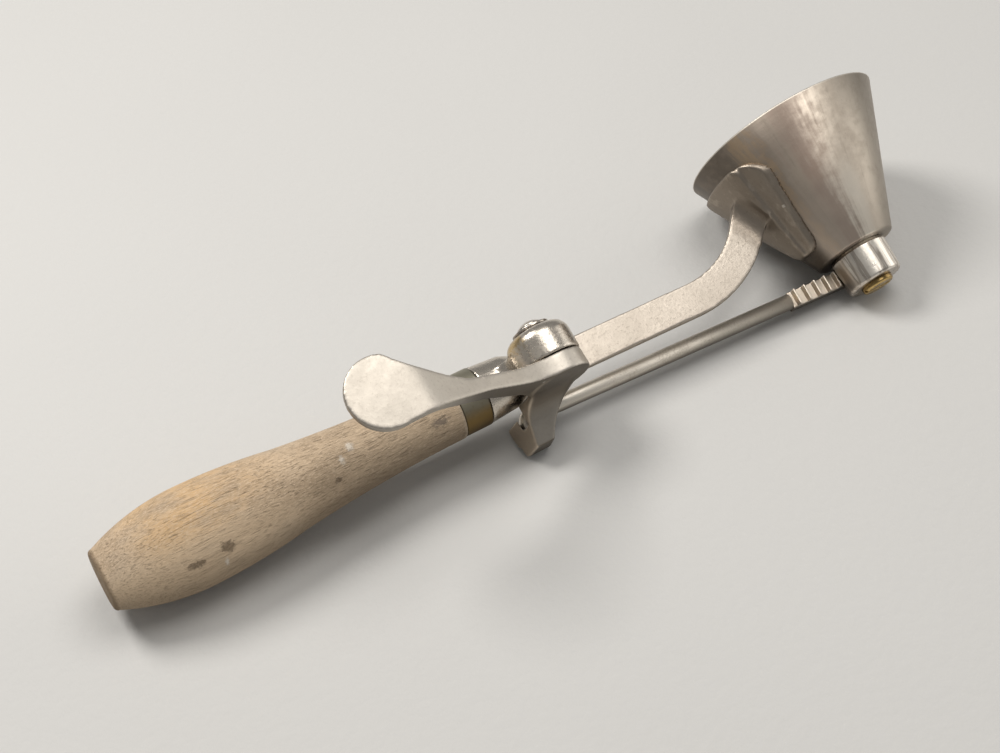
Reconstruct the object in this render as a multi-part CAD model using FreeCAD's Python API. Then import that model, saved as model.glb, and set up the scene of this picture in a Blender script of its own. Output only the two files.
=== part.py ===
import FreeCAD, Part
import math
import os

# Conical disher: thumb lever, push rod with a rack, pinion and wall scraper.
# Millimetres. Worked out with the handle along X, the bowl mouth facing +Y and the
# lever on top; at the end everything is laid on its side on the table.

V = FreeCAD.Vector
X_AXIS = V(1, 0, 0)
Y_AXIS = V(0, 1, 0)
Z_AXIS = V(0, 0, 1)

# Fits
running_gap = 0.05
body_gap = 0.4

# Handle, ferrule and tang
butt_x = -135.5
butt_radius = 8.7
butt_edge = 1.2
swell_x = -124.0
swell_radius = 12.2
belly_x = -108.0
belly_radius = 13.95
flank_radius = 13.35
middle_x = -82.0
middle_radius = 11.75
waist_x = -55.0
waist_radius = 9.45
ferrule_back_x = -31.2
ferrule_front_x = -22.9
neck_radius = 8.75
ferrule_radius = 8.6
ferrule_wall = 0.7
spigot_radius = ferrule_radius - ferrule_wall
collar_radius = 8.45
collar_end_radius = 7.7
collar_end_x = -7.6
collar_nose = 5.9
saddle_round = 5.0
saddle_low = 7.3
tang_radius = 3.2
tang_depth = 70.0

# Bowl: a thin truncated cone whose axis is parallel to Y
bowl_x = 100.6
mouth_y = 31.1
mouth_radius = 30.9
base_y = -11.1
base_radius = 12.3
bowl_wall = 1.1
base_wall = 1.5
bowl_slope = (mouth_radius - base_radius) / (mouth_y - base_y)
bowl_half_angle = math.atan(bowl_slope)
wall_along_radius = bowl_wall / math.cos(bowl_half_angle)

# Rack and pinion
tooth_pitch = 3.55
pinion_teeth = 5
pitch_radius = tooth_pitch * pinion_teeth / (2 * math.pi)
addendum = 0.75
dedendum = 1.1
tooth_tip = 0.65
tooth_root = 1.05
rack_width = 5.0
rack_teeth = 8
rack_reach = 4.2
rack_shoulder = 1.9
first_tooth = tooth_pitch / 2
rack_back = first_tooth - tooth_pitch * (rack_teeth - 1) - rack_shoulder
pinion_top_y = -13.0
pinion_end_y = -19.3
journal_radius = 1.6
journal_length = 1.4
spindle_radius = 1.6
spindle_tip = 1.0

# Push rod, slightly askew to the handle, with its end bent towards the lever's foot
rod_radius = 2.38
rod_z = -5.0
rod_skew = math.radians(-2.8)
rod_y_at_bowl = -16.0
elbow_x = -13.4
elbow_bend = 2.7
elbow_pin_y = -16.3

# Pinion housing at the small end of the bowl
housing_radius = 9.0
housing_end_radius = 8.5
housing_end_y = -22.2
housing_bevel = 0.6
neck_length = 0.9
neck_groove_radius = 8.3
chamber_play = 0.55
chamber_radius = pitch_radius + addendum + chamber_play
plug_radius = 4.9
plug_tip_y = -23.9
plug_bevel = 0.5
plug_shank_radius = 3.3
plug_slot = 1.2
plug_slot_depth = 0.9
journal_play = 0.3

# Lever pivot, spring barrel, pin, cap and screw
bar_top_z = 3.0
hub_radius = 9.2
pivot_x = -4.4
pivot_z = bar_top_z + hub_radius + body_gap
barrel_radius = 9.4
barrel_lever_y = -3.6
barrel_end_y = 6.2
barrel_round = 3.6
pedestal_half = 7.5
spring_room_radius = 7.0
spring_room_end_y = 3.4
pin_radius = 3.0
cap_radius = 5.5
cap_thickness = 0.75
screw_radius = 3.6
screw_height = 2.2
screw_rim = 0.8
screw_slot = 1.0
screw_slot_depth = 0.9
pin_wall = 2.0

# Thumb lever; the swing is positive when the pad is pressed towards the handle
lever_swing = math.radians(27)
rod_travel = 8.875
lever_play = 0.3
lever_back_y = barrel_lever_y - lever_play
lever_front_y = -9.7
pad_centre_x = -57.0
pad_centre_y = 0.9
pad_radius = 10.1
pad_end_z = 46.4
pad_thickness = 2.8
ramp_foot_x = -13.5
ramp_foot_z = 22.4
ramp_head_x = -45.5
ramp_head_z = 44.6
ramp_foot_bend = 22.0
ramp_head_bend = 14.0
root_bend = 6.0
root_x = -17.0
root_z = 15.5
root_inset = 0.7
hub_dip = 0.55
arm_overlap = 4.0
arm_depth = 3.0
under_lag = 2.0
under_drop = 1.4
neck_x = -29.0
neck_front_y = -8.2
shoulder_x = -6.4
shoulder_back_x = -19.0
flare_x = -33.5
flare_y = -3.4
flare_middle_x = -44.4
flare_middle_y = 2.0
pad_leave = math.radians(66)
leg_bend = 9.5
leg_inset = 0.5
leg_drop = 2.0
leg_bulge_x = 0.6
leg_bulge_z = 1.0
leg_toe_x = -8.0
leg_heel_x = -18.4
leg_knee_x = -15.2
leg_knee_z = 4.0
toe_root_x = 6.0
toe_middle_x = -5.5
toe_end_x = -10.1
foot_end_y = -20.6
foot_back_y = -14.0
foot_plate_y = -8.3
cheek_back_y = -10.6
foot_top_z = 0.7
foot_slope = math.radians(24.8)
foot_end_bottom_z = -6.4
foot_back_bottom_z = -9.3
notch_play = 0.5
rod_room_drop = 5.0

# Shank bar
bar_width = 10.0
bar_depth = 6.3
bar_lip = 1.5
bar_start_x = -10.0
bar_start_y = -1.7
bar_reach = 54.1
bar_bend_x = bowl_x - bar_reach
bar_skew = math.radians(-1.5)
bend_radius = 33.0
bend_angle = math.radians(53)
bar_tail = 6.0

# Seat on the bowl: a tapered plate with a narrower ridge on it
plate_thickness = 1.9
ridge_thickness = 2.8
seat_top_y = 24.0
seat_tip_y = -6.6
seat_shift_z = 2.0
plate_top_half = 18.0
plate_tip_half = 4.6
ridge_top_half = 12.4
ridge_tip_half = 1.6
plate_top_round = 5.0
plate_tip_round = 4.8
ridge_top_round = 2.0
ridge_tip_round = 1.4
plate_edge = 0.9
ridge_edge = 0.7
gusset_round = 6.0
gusset_lean = 1.0

# Return spring: a flat strip wound in a spiral
spring_strip = 0.4
spring_pitch = 1.1
spring_turns = 2.5
spring_width = 5.0

# Scraper
blade_gap = 0.5
blade_thickness = 1.1
blade_width = 7.0
blade_top_y = 29.5
scraper_hub_radius = 4.6
scraper_hub_height = 2.4
bush_radius = 4.0
bush_height = 1.0
bush_lip = 1.2
nut_across = 6.4
nut_height = 2.2


def face_of(points):
    """Face inside a closed run of straight edges."""
    return Part.Face(Part.makePolygon(points + points[:1]))


def disc_y(radius, y_from, y_to, x, z):
    """Cylinder with its axis parallel to Y between two y values."""
    return Part.makeCylinder(radius, abs(y_to - y_from), V(x, min(y_from, y_to), z), Y_AXIS)


def revolved_y(edges, x, z):
    """Solid of revolution of an outline drawn as (radius, y), moved to its axis."""
    solid = Part.Face(Part.Wire(edges)).revolve(V(0, 0, 0), Y_AXIS, 360)
    return solid.translated(V(x, 0, z))


def bowl_radius(y):
    """Outer radius of the bowl at a height along its axis."""
    return base_radius + bowl_slope * (y - base_y)


def bowl_frustum(y_from, y_to, offset):
    """Solid frustum parallel to the bowl's outside."""
    return Part.makeCone(bowl_radius(y_from) + offset, bowl_radius(y_to) + offset, y_to - y_from,
                         V(bowl_x, y_from, 0), Y_AXIS)


def rod_point(x):
    """Point on the rod's centre line."""
    return V(x, rod_y_at_bowl + (x - bowl_x) * math.tan(rod_skew), rod_z)


def dome(radius, edge_y, top_y):
    """Spherical arc, drawn as (radius, y), from the edge of a screw head to its middle."""
    rise = top_y - edge_y
    ball = (radius ** 2 + rise ** 2) / (2 * abs(rise))
    half = math.asin(radius / ball) / 2
    middle_y = top_y - math.copysign(ball * (1 - math.cos(half)), rise)
    return Part.Arc(V(radius, edge_y, 0), V(ball * math.sin(half), middle_y, 0), V(0, top_y, 0)).toShape()


def make_handle():
    """Turned wooden handle with a spigot for the ferrule and a blind bore for the tang."""
    swell = Part.Arc(V(butt_x + butt_edge, butt_radius, 0), V(swell_x, swell_radius, 0),
                     V(belly_x, belly_radius, 0))
    flank = Part.Arc(V(belly_x, belly_radius, 0), V((belly_x + middle_x) / 2, flank_radius, 0),
                     V(middle_x, middle_radius, 0))
    waist = Part.Arc(V(middle_x, middle_radius, 0), V(waist_x, waist_radius, 0),
                     V(ferrule_back_x, neck_radius, 0))
    bevel = Part.makeLine(V(butt_x, butt_radius - butt_edge, 0), V(butt_x + butt_edge, butt_radius, 0))
    front = Part.makePolygon([V(ferrule_back_x, neck_radius, 0), V(ferrule_back_x, spigot_radius, 0),
                              V(ferrule_front_x, spigot_radius, 0), V(ferrule_front_x, 0, 0),
                              V(butt_x, 0, 0), V(butt_x, butt_radius - butt_edge, 0)])
    outline = Part.Wire([bevel, swell.toShape(), flank.toShape(), waist.toShape()] + front.Edges)
    body = Part.Face(outline).revolve(V(0, 0, 0), X_AXIS, 360)
    return body.cut(make_tang())


def make_ferrule():
    """Brass tube over the handle's spigot."""
    length = ferrule_front_x - ferrule_back_x
    base = V(ferrule_back_x, 0, 0)
    tube = Part.makeCylinder(ferrule_radius, length, base, X_AXIS)
    return tube.cut(Part.makeCylinder(spigot_radius, length, base, X_AXIS))


def make_tang():
    """Steel rod from the shank into the handle."""
    return Part.makeCylinder(tang_radius, tang_depth, V(ferrule_front_x - tang_depth, 0, 0), X_AXIS)


def make_collar():
    """Root of the shank: a tapered round against the ferrule with a twice bevelled end."""
    nose_start = V(collar_end_x - collar_nose, collar_end_radius, 0)
    nose_end = V(collar_end_x, collar_end_radius - collar_nose, 0)
    slant = collar_nose * math.sqrt(0.5)
    nose_middle = V(nose_start.x + slant, nose_end.y + slant, 0)
    outline = [V(ferrule_front_x, 0, 0), V(ferrule_front_x, collar_radius, 0), nose_start, nose_middle,
               nose_end, V(collar_end_x, 0, 0)]
    return face_of(outline).revolve(V(0, 0, 0), X_AXIS, 360)


def make_saddle():
    """Concave rise from the collar to the side of the barrel."""
    back_x = pivot_x - barrel_radius - saddle_round
    top_z = saddle_low + saddle_round
    end_y = bar_start_y + bar_width / 2
    block = Part.makeBox(pivot_x - back_x, end_y - barrel_lever_y, top_z, V(back_x, barrel_lever_y, 0))
    return block.cut(disc_y(saddle_round, barrel_lever_y - 1, end_y + 1, back_x, top_z))


def bar_line():
    """Start of the bar, its sideways direction, the end of its straight run and its bend's centre."""
    start = V(bar_start_x, bar_start_y, 0)
    side = V(-math.sin(bar_skew), math.cos(bar_skew), 0)
    run_end = start + V(1, math.tan(bar_skew), 0) * (bar_bend_x - bar_start_x)
    return start, side, run_end, run_end + side * bend_radius


def make_bar():
    """Half-round bar, flat side up: a straight run, then the bend up to the bowl."""
    start, side, run_end, centre = bar_line()
    left = start + side * (bar_width / 2) + Z_AXIS * bar_top_z
    right = start - side * (bar_width / 2) + Z_AXIS * bar_top_z
    lip = Z_AXIS * bar_lip
    belly = Part.Arc(left - lip, start + Z_AXIS * (bar_top_z - bar_depth), right - lip)
    section = Part.Face(Part.Wire([Part.makeLine(right, left), Part.makeLine(left, left - lip),
                                   belly.toShape(), Part.makeLine(right - lip, right)]))
    run = section.extrude(run_end - start)
    at_bend = section.translated(run_end - start)
    bend = at_bend.revolve(centre, Z_AXIS, math.degrees(bend_angle))
    heading = bar_skew + bend_angle
    tail_way = V(math.cos(heading), math.sin(heading), 0) * bar_tail
    tail = at_bend.rotated(centre, Z_AXIS, math.degrees(bend_angle)).extrude(tail_way)
    return run.fuse([bend, tail])


def make_gusset():
    """Concave rise along the seat from the end of the bar's top."""
    heading = bar_skew + bend_angle
    way = V(math.cos(heading), math.sin(heading), 0)
    bend_end = bar_line()[3] + V(way.y, -way.x, 0) * bend_radius + Z_AXIS * bar_top_z
    seat = bowl_frustum(base_y, mouth_y, ridge_thickness / math.cos(bowl_half_angle))
    hit = Part.makeLine(bend_end - way * bend_radius, bend_end + way * bowl_x).common(seat)
    touch = min((v.Point for v in hit.Vertexes), key=bend_end.distanceToPoint)
    length = 4 * bar_width
    height = gusset_round + bar_lip
    back_x = gusset_lean - gusset_round
    rise = Part.makeBox(2 * gusset_round, length, height, V(back_x, -length / 2, -bar_lip))
    rise = rise.cut(disc_y(gusset_round, -length, length, back_x, gusset_round))
    strip = Part.makeBox(length, bar_width, height, V(-length / 2, -bar_width / 2, -bar_lip))
    gusset = rise.rotated(V(0, 0, 0), Z_AXIS, math.degrees(bowl_half_angle)).common(
        strip.rotated(V(0, 0, 0), Z_AXIS, math.degrees(heading)))
    return gusset.translated(touch)


def make_barrel():
    """Drum with a rounded shoulder for the return spring, standing on the bar beside the lever."""
    flat_y = barrel_end_y - barrel_round
    end_radius = barrel_radius - barrel_round
    slant = barrel_round * math.sqrt(0.5)
    shoulder = Part.Arc(V(barrel_radius, flat_y, 0), V(end_radius + slant, flat_y + slant, 0),
                        V(end_radius, barrel_end_y, 0))
    rest = Part.makePolygon([V(end_radius, barrel_end_y, 0), V(0, barrel_end_y, 0),
                             V(0, barrel_lever_y, 0), V(barrel_radius, barrel_lever_y, 0),
                             V(barrel_radius, flat_y, 0)])
    drum = revolved_y([shoulder.toShape()] + rest.Edges, pivot_x, pivot_z)
    pedestal = Part.makeBox(2 * pedestal_half, bar_start_y + bar_width / 2 - barrel_lever_y, pivot_z,
                            V(pivot_x - pedestal_half, barrel_lever_y, 0))
    return drum.fuse(pedestal)


def seat_piece(top_half, tip_half, top_round, tip_round, thickness, edge_round):
    """Plate wrapped round the bowl's handle side, its outline tapering to a rounded tip."""
    outline = face_of([V(0, seat_top_y, top_half), V(0, seat_top_y, -top_half),
                       V(0, seat_tip_y, -tip_half), V(0, seat_tip_y, tip_half)])
    block = outline.extrude(V(bowl_x, 0, 0))
    for radius, upper in ((top_round, True), (tip_round, False)):
        edge_y = seat_top_y if upper else seat_tip_y
        corners = [e for e in block.Edges
                   if e.BoundBox.XLength > 1 and abs(e.CenterOfMass.y - edge_y) < 0.01
                   and abs(e.CenterOfMass.z) > (top_half if upper else tip_half) - 0.01]
        block = block.makeFillet(radius, corners)
    block.translate(V(0, 0, seat_shift_z))
    outer = bowl_frustum(seat_tip_y - 4, seat_top_y + 4, thickness / math.cos(bowl_half_angle))
    inner = bowl_frustum(seat_tip_y - 5, seat_top_y + 5, 0)
    wrapped = outer.cut(inner).common(block)
    front = min(sorted(wrapped.Faces, key=lambda f: -f.Area)[:2], key=lambda f: f.CenterOfMass.x)
    return wrapped.makeFillet(edge_round, front.OuterWire.Edges)


def make_shank():
    """One casting: collar, barrel, bar and the seat for the bowl."""
    bowl_space = bowl_frustum(base_y, mouth_y, 0)
    plate = seat_piece(plate_top_half, plate_tip_half, plate_top_round, plate_tip_round,
                       plate_thickness, plate_edge)
    ridge = seat_piece(ridge_top_half, ridge_tip_half, ridge_top_round, ridge_tip_round,
                       ridge_thickness, ridge_edge)
    arm = make_bar().fuse(make_gusset()).cut(bowl_space)
    hub_room = disc_y(hub_radius + body_gap, lever_front_y, barrel_lever_y, pivot_x, pivot_z)
    collar = make_collar().cut(hub_room)
    body = collar.fuse([arm, make_saddle(), make_barrel(), plate, ridge])
    spring_room = disc_y(spring_room_radius, barrel_lever_y - 1, spring_room_end_y, pivot_x, pivot_z)
    pin_hole = disc_y(pin_radius + running_gap, barrel_lever_y - 1, barrel_end_y + 1, pivot_x, pivot_z)
    return body.cut([spring_room, pin_hole]).removeSplitter()


def make_bowl():
    """Thin cone with a floor; the floor has a hole for the bush."""
    inner = bowl_frustum(base_y, mouth_y + 1, -wall_along_radius)
    floor = bowl_frustum(base_y, base_y + base_wall, 0)
    shell = bowl_frustum(base_y, mouth_y, 0).cut(inner).fuse(floor)
    hole = disc_y(bush_radius, base_y - 1, base_y + base_wall + 1, bowl_x, 0)
    return shell.cut(hole).removeSplitter()


def make_bush():
    """Bearing for the spindle in the bowl's floor, with a low flange inside the bowl."""
    body = disc_y(bush_radius, base_y, base_y + base_wall, bowl_x, 0)
    flange = disc_y(bush_radius + bush_lip, base_y + base_wall, base_y + base_wall + bush_height, bowl_x, 0)
    bore = disc_y(spindle_radius + running_gap, base_y - 1, mouth_y, bowl_x, 0)
    return body.fuse(flange).cut(bore).removeSplitter()


def make_housing():
    """Pinion housing: a tapered drum with a tunnel for the rack and a chamber for the pinion."""
    groove = base_y - neck_length
    rim = housing_end_y + housing_bevel
    outline = Part.makePolygon([V(0, base_y, 0), V(neck_groove_radius, base_y, 0),
                                V(neck_groove_radius, groove, 0), V(housing_radius, groove, 0),
                                V(housing_end_radius, rim, 0),
                                V(housing_end_radius - housing_bevel, housing_end_y, 0),
                                V(0, housing_end_y, 0), V(0, base_y, 0)])
    body = revolved_y(outline.Edges, bowl_x, 0)
    chamber = disc_y(chamber_radius, pinion_end_y - body_gap, pinion_top_y + body_gap, bowl_x, 0)
    spindle_hole = disc_y(spindle_radius + running_gap, pinion_top_y, base_y + 1, bowl_x, 0)
    plug_hole = disc_y(plug_shank_radius, housing_end_y - 1, pinion_end_y, bowl_x, 0)
    return body.cut([chamber, spindle_hole, plug_hole, make_tunnel()])


def make_tunnel():
    """Slot through the housing in which the rack slides."""
    width = rack_width + 2 * body_gap
    low = rod_z - rod_radius - body_gap
    high = -pitch_radius + addendum + body_gap
    length = 4 * housing_radius
    box = Part.makeBox(length, width, high - low, V(-length / 2, -width / 2, low))
    box.rotate(V(0, 0, 0), Z_AXIS, math.degrees(rod_skew))
    return box.translated(V(bowl_x, rod_y_at_bowl, 0))


def make_plug():
    """Slotted plug screw that closes the housing and carries the pinion's journal."""
    shank = disc_y(plug_shank_radius, housing_end_y, pinion_end_y - body_gap, bowl_x, 0)
    edge = plug_tip_y + plug_bevel
    outline = face_of([V(0, plug_tip_y, 0), V(0, housing_end_y, 0), V(plug_radius, housing_end_y, 0),
                       V(plug_radius, edge, 0), V(plug_radius - plug_bevel, plug_tip_y, 0)])
    head = revolved_y(outline.Edges, bowl_x, 0)
    slot = Part.makeBox(4 * plug_radius, 2 * plug_slot_depth, plug_slot,
                        V(bowl_x - 2 * plug_radius, plug_tip_y - plug_slot_depth, -plug_slot / 2))
    journal = disc_y(journal_radius + running_gap, pinion_end_y - journal_length - journal_play,
                     pinion_end_y, bowl_x, 0)
    return head.fuse(shank).cut([slot, journal])


def make_pinion():
    """Pinion with straight-sided leaves, a journal below it and the spindle's seat above."""
    root = pitch_radius - dedendum
    tip = pitch_radius + addendum
    body = disc_y(root, pinion_end_y, pinion_top_y, bowl_x, 0)
    leaf = face_of([V(-tooth_root / 2, pinion_end_y, -root * 0.9), V(-tooth_tip / 2, pinion_end_y, -tip),
                    V(tooth_tip / 2, pinion_end_y, -tip), V(tooth_root / 2, pinion_end_y, -root * 0.9)])
    leaf = leaf.extrude(V(0, pinion_top_y - pinion_end_y, 0)).translated(V(bowl_x, 0, 0))
    leaves = []
    for index in range(pinion_teeth):
        leaves.append(leaf.rotated(V(bowl_x, 0, 0), Y_AXIS, 360.0 * index / pinion_teeth))
    journal = disc_y(journal_radius, pinion_end_y - journal_length, pinion_end_y, bowl_x, 0)
    return body.fuse(leaves + [journal]).removeSplitter()


def make_spindle():
    """Shaft from the pinion up through the bush to the scraper and its nut."""
    floor = base_y + base_wall + bush_height
    tip = floor + scraper_hub_height + nut_height + spindle_tip
    return disc_y(spindle_radius, pinion_top_y, tip, bowl_x, 0)


def make_rack():
    """Flat bar on the end of the push rod with teeth on its upper side."""
    crest = -pitch_radius + addendum
    root = -pitch_radius - dedendum
    low = rod_z - rod_radius
    points = [V(rack_reach, 0, low), V(rack_reach, 0, root)]
    for index in range(rack_teeth):
        middle = first_tooth - tooth_pitch * index
        points.append(V(middle + tooth_root / 2, 0, root))
        points.append(V(middle + tooth_tip / 2, 0, crest))
        points.append(V(middle - tooth_tip / 2, 0, crest))
        points.append(V(middle - tooth_root / 2, 0, root))
    points.append(V(rack_back, 0, root))
    points.append(V(rack_back, 0, low))
    bar = face_of(points).extrude(V(0, rack_width, 0)).translated(V(0, -rack_width / 2, 0))
    bar.rotate(V(0, 0, 0), Z_AXIS, math.degrees(rod_skew))
    return bar.translated(V(bowl_x, rod_y_at_bowl, 0))


def make_rod():
    """Round rod from the elbow in the lever's foot to the rack."""
    end = rod_point(bowl_x + rack_back * math.cos(rod_skew))
    corner = rod_point(elbow_x)
    bend_start = corner + (end - corner).normalize() * elbow_bend
    pin_start = corner + V(0, -elbow_bend, 0)
    pin_end = V(elbow_x, elbow_pin_y, rod_z)
    half_turn = (math.pi / 2 - rod_skew) / 2
    inset = elbow_bend / math.tan(half_turn) * (1 / math.cos(half_turn) - 1)
    middle = corner + (bend_start + pin_start - corner * 2).normalize() * inset
    path = Part.Wire([Part.makeLine(pin_end, pin_start), Part.Arc(pin_start, middle, bend_start).toShape(),
                      Part.makeLine(bend_start, end)])
    profile = Part.Wire(Part.makeCircle(rod_radius, pin_end, V(0, 1, 0)))
    return path.makePipeShell([profile], True, True)


def lever_arm():
    """Arm and pad: the side view and the plan view of the lever, one cut by the other."""
    pad_low = pad_end_z - pad_thickness
    reach = pad_centre_x - 2 * pad_radius
    arm_low = pivot_z - arm_depth
    under_x = ramp_head_x - under_lag
    side = face_of([V(pivot_x + arm_depth, 0, pivot_z + hub_radius - hub_dip), V(ramp_foot_x, 0, ramp_foot_z),
                    V(ramp_head_x, 0, ramp_head_z), V(reach, 0, pad_end_z), V(reach, 0, pad_low),
                    V(under_x, 0, pad_low - under_drop), V(root_x, 0, root_z),
                    V(pivot_x - hub_radius + root_inset, 0, arm_low), V(pivot_x + arm_depth, 0, arm_low)])
    solid = side.extrude(V(0, 6 * pad_radius, 0)).translated(V(0, -3 * pad_radius, 0))
    for x, radius in ((ramp_foot_x, ramp_foot_bend), (ramp_head_x, ramp_head_bend),
                      (under_x, ramp_head_bend - pad_thickness), (root_x, root_bend)):
        bends = [e for e in solid.Edges
                 if e.BoundBox.YLength > pad_radius and abs(e.CenterOfMass.x - x) < 0.05]
        solid = solid.makeFillet(radius, bends)
    end_x = pivot_x + arm_overlap
    pad_front = V(pad_centre_x, pad_centre_y - pad_radius, 0)
    front_edge = Part.makePolygon([V(end_x, lever_back_y, 0), V(end_x, lever_front_y, 0),
                                   V(shoulder_x, lever_front_y, 0), V(neck_x, neck_front_y, 0), pad_front])
    leave = V(pad_centre_x + pad_radius * math.cos(pad_leave),
              pad_centre_y + pad_radius * math.sin(pad_leave), 0)
    pad_round = Part.Arc(pad_front, V(pad_centre_x - pad_radius, pad_centre_y, 0), leave)
    flare_end = V(flare_x, flare_y, 0)
    flare = Part.Arc(leave, V(flare_middle_x, flare_middle_y, 0), flare_end)
    closing = Part.makePolygon([flare_end, V(shoulder_back_x, lever_back_y, 0), V(end_x, lever_back_y, 0)])
    plan = Part.Face(Part.Wire(front_edge.Edges + [pad_round.toShape(), flare.toShape()] + closing.Edges))
    return solid.common(plan.extrude(V(0, 0, 2 * pad_end_z)))


def lever_leg():
    """Leg and flared foot: side view, end view and plan view cut by each other."""
    room = 2 * pad_end_z
    bottom = foot_back_bottom_z - leg_drop
    right_top = V(pivot_x + hub_radius, 0, pivot_z)
    toe = V(leg_toe_x, 0, bottom)
    right_arc = Part.Arc(right_top, V(leg_bulge_x, 0, leg_bulge_z), toe)
    left_top = V(pivot_x - hub_radius + leg_inset, 0, pivot_z - leg_drop)
    side_rest = Part.makePolygon([toe, V(leg_heel_x, 0, bottom), V(leg_knee_x, 0, leg_knee_z), left_top,
                                  V(pivot_x, 0, pivot_z), right_top])
    side = Part.Face(Part.Wire([right_arc.toShape()] + side_rest.Edges))
    side_solid = side.extrude(V(0, room, 0)).translated(V(0, -room, 0))
    crease_z = foot_top_z + math.tan(foot_slope) * (lever_front_y - foot_end_y)
    view = face_of([V(0, foot_plate_y, pivot_z), V(0, lever_front_y, pivot_z), V(0, lever_front_y, crease_z),
                    V(0, foot_end_y, foot_top_z), V(0, foot_end_y, foot_end_bottom_z),
                    V(0, foot_back_y, foot_back_bottom_z), V(0, foot_plate_y, foot_back_bottom_z)])
    end_solid = view.extrude(V(room, 0, 0)).translated(V(-room / 2, 0, 0))
    crease = [e for e in end_solid.Edges
              if e.BoundBox.XLength > room / 2 and abs(e.CenterOfMass.z - crease_z) < 0.05]
    end_solid = end_solid.makeFillet(leg_bend, crease)
    toe_end = V(toe_end_x, foot_end_y, 0)
    toe_root = V(toe_root_x, foot_plate_y, 0)
    plan_arc = Part.Arc(toe_root, V(toe_middle_x, foot_back_y, 0), toe_end)
    plan_rest = Part.makePolygon([toe_end, V(-room, foot_end_y, 0), V(-room, foot_plate_y, 0), toe_root])
    plan = Part.Face(Part.Wire([plan_arc.toShape()] + plan_rest.Edges))
    plan_solid = plan.extrude(V(0, 0, room)).translated(V(0, 0, -room / 2))
    return side_solid.common(end_solid).common(plan_solid)


def pin_in_foot(share):
    """Centre of the rod's bent end as the turning foot sees it, at a share of the travel."""
    turn = -lever_swing * share
    x = elbow_x + rod_travel * share * math.cos(rod_skew) - pivot_x
    z = rod_z - pivot_z
    return V(pivot_x + x * math.cos(turn) - z * math.sin(turn), 0,
             pivot_z + x * math.sin(turn) + z * math.cos(turn))


def rod_room():
    """Space behind the foot in which the rod turns; a cheek is left beside the rod's elbow."""
    reach = pivot_z - (rod_z + rod_radius) - body_gap
    far = 3 * reach
    end_y = foot_plate_y + 1
    ring = disc_y(far, foot_back_y, end_y, pivot_x, pivot_z)
    ring = ring.cut(disc_y(reach, foot_back_y, end_y, pivot_x, pivot_z))
    low = V(elbow_x - rod_radius - notch_play, foot_back_y, pivot_z - rod_room_drop - far)
    beside = Part.makeBox(2 * far, end_y - foot_back_y, far, low)
    behind = Part.makeBox(2 * far, end_y - cheek_back_y, far, V(-far, cheek_back_y, low.z))
    return ring.common(beside.fuse(behind))


def make_lever():
    """Cast thumb lever: pad, arm, hub and foot, with a blind slot for the rod's bent end."""
    hub = disc_y(hub_radius, lever_front_y, lever_back_y, pivot_x, pivot_z)
    body = hub.fuse([lever_arm(), lever_leg()])
    slot_radius = rod_radius + notch_play
    slot_floor_y = elbow_pin_y + rod_travel * math.sin(rod_skew) - notch_play
    lift = V(0, slot_floor_y, 0)
    cuts = [rod_room()]
    stations = [pin_in_foot(0), pin_in_foot(0.5), pin_in_foot(1)]
    for spot in stations:
        cuts.append(disc_y(slot_radius, slot_floor_y, foot_back_y, spot.x, spot.z))
    for first, second in zip(stations, stations[1:]):
        along = (second - first).normalize()
        across = V(-along.z, 0, along.x) * slot_radius
        run = face_of([first + across + lift, second + across + lift, second - across + lift,
                       first - across + lift])
        cuts.append(run.extrude(V(0, foot_back_y - slot_floor_y, 0)))
    cuts.append(disc_y(pin_radius, lever_front_y + pin_wall, lever_back_y, pivot_x, pivot_z))
    return body.cut(cuts).removeSplitter()


def make_pivot_pin():
    """Pin fixed in the lever's hub, turning in the barrel's end wall."""
    return disc_y(pin_radius, lever_front_y + pin_wall, barrel_end_y + body_gap, pivot_x, pivot_z)


def make_cap():
    """Cap washer over the barrel's end."""
    low = barrel_end_y + body_gap
    return disc_y(cap_radius, low, low + cap_thickness, pivot_x, pivot_z)


def make_screw():
    """Domed slotted screw that holds the cap on the pin."""
    low = barrel_end_y + body_gap + cap_thickness
    top = low + screw_height
    edge = low + screw_rim
    rest = Part.makePolygon([V(0, top, 0), V(0, low, 0), V(screw_radius, low, 0), V(screw_radius, edge, 0)])
    head = revolved_y([dome(screw_radius, edge, top)] + rest.Edges, pivot_x, pivot_z)
    slot = Part.makeBox(4 * screw_radius, 2 * screw_slot_depth, screw_slot,
                        V(pivot_x - 2 * screw_radius, top - screw_slot_depth, pivot_z - screw_slot / 2))
    return head.cut(slot)


def half_ring(centre, radius, thickness, height, way):
    """Half of a ring on the +X to -X line, bulging to +Z or -Z."""
    def arc(r):
        return Part.Arc(centre + V(-way * r, 0, 0), centre + V(0, 0, way * r),
                        centre + V(way * r, 0, 0)).toShape()

    outer = radius + thickness / 2
    inner = radius - thickness / 2
    ends = [Part.makeLine(centre + V(s * inner, 0, 0), centre + V(s * outer, 0, 0)) for s in (-1, 1)]
    return Part.Face(Part.Wire([arc(outer), ends[0], arc(inner), ends[1]])).extrude(V(0, height, 0))


def make_spring():
    """Return spring: a strip wound round the pin in half turns of growing radius."""
    base_y_of_strip = (spring_room_end_y + lever_back_y - spring_width) / 2
    first = pin_radius + body_gap + spring_strip / 2
    halves = []
    for index in range(int(2 * spring_turns)):
        odd = index % 2
        centre = V(pivot_x + odd * spring_pitch / 2, base_y_of_strip, pivot_z)
        halves.append(half_ring(centre, first + index * spring_pitch / 2, spring_strip, spring_width,
                                -1 if odd else 1))
    return halves[0].fuse(halves[1:]).removeSplitter()


def make_scraper_hub():
    """Round hub on the spindle that carries the two blades."""
    low = base_y + base_wall + bush_height
    hub = disc_y(scraper_hub_radius, low, low + scraper_hub_height, bowl_x, 0)
    return hub.cut(disc_y(spindle_radius, low - 1, low + scraper_hub_height + 1, bowl_x, 0))


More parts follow.
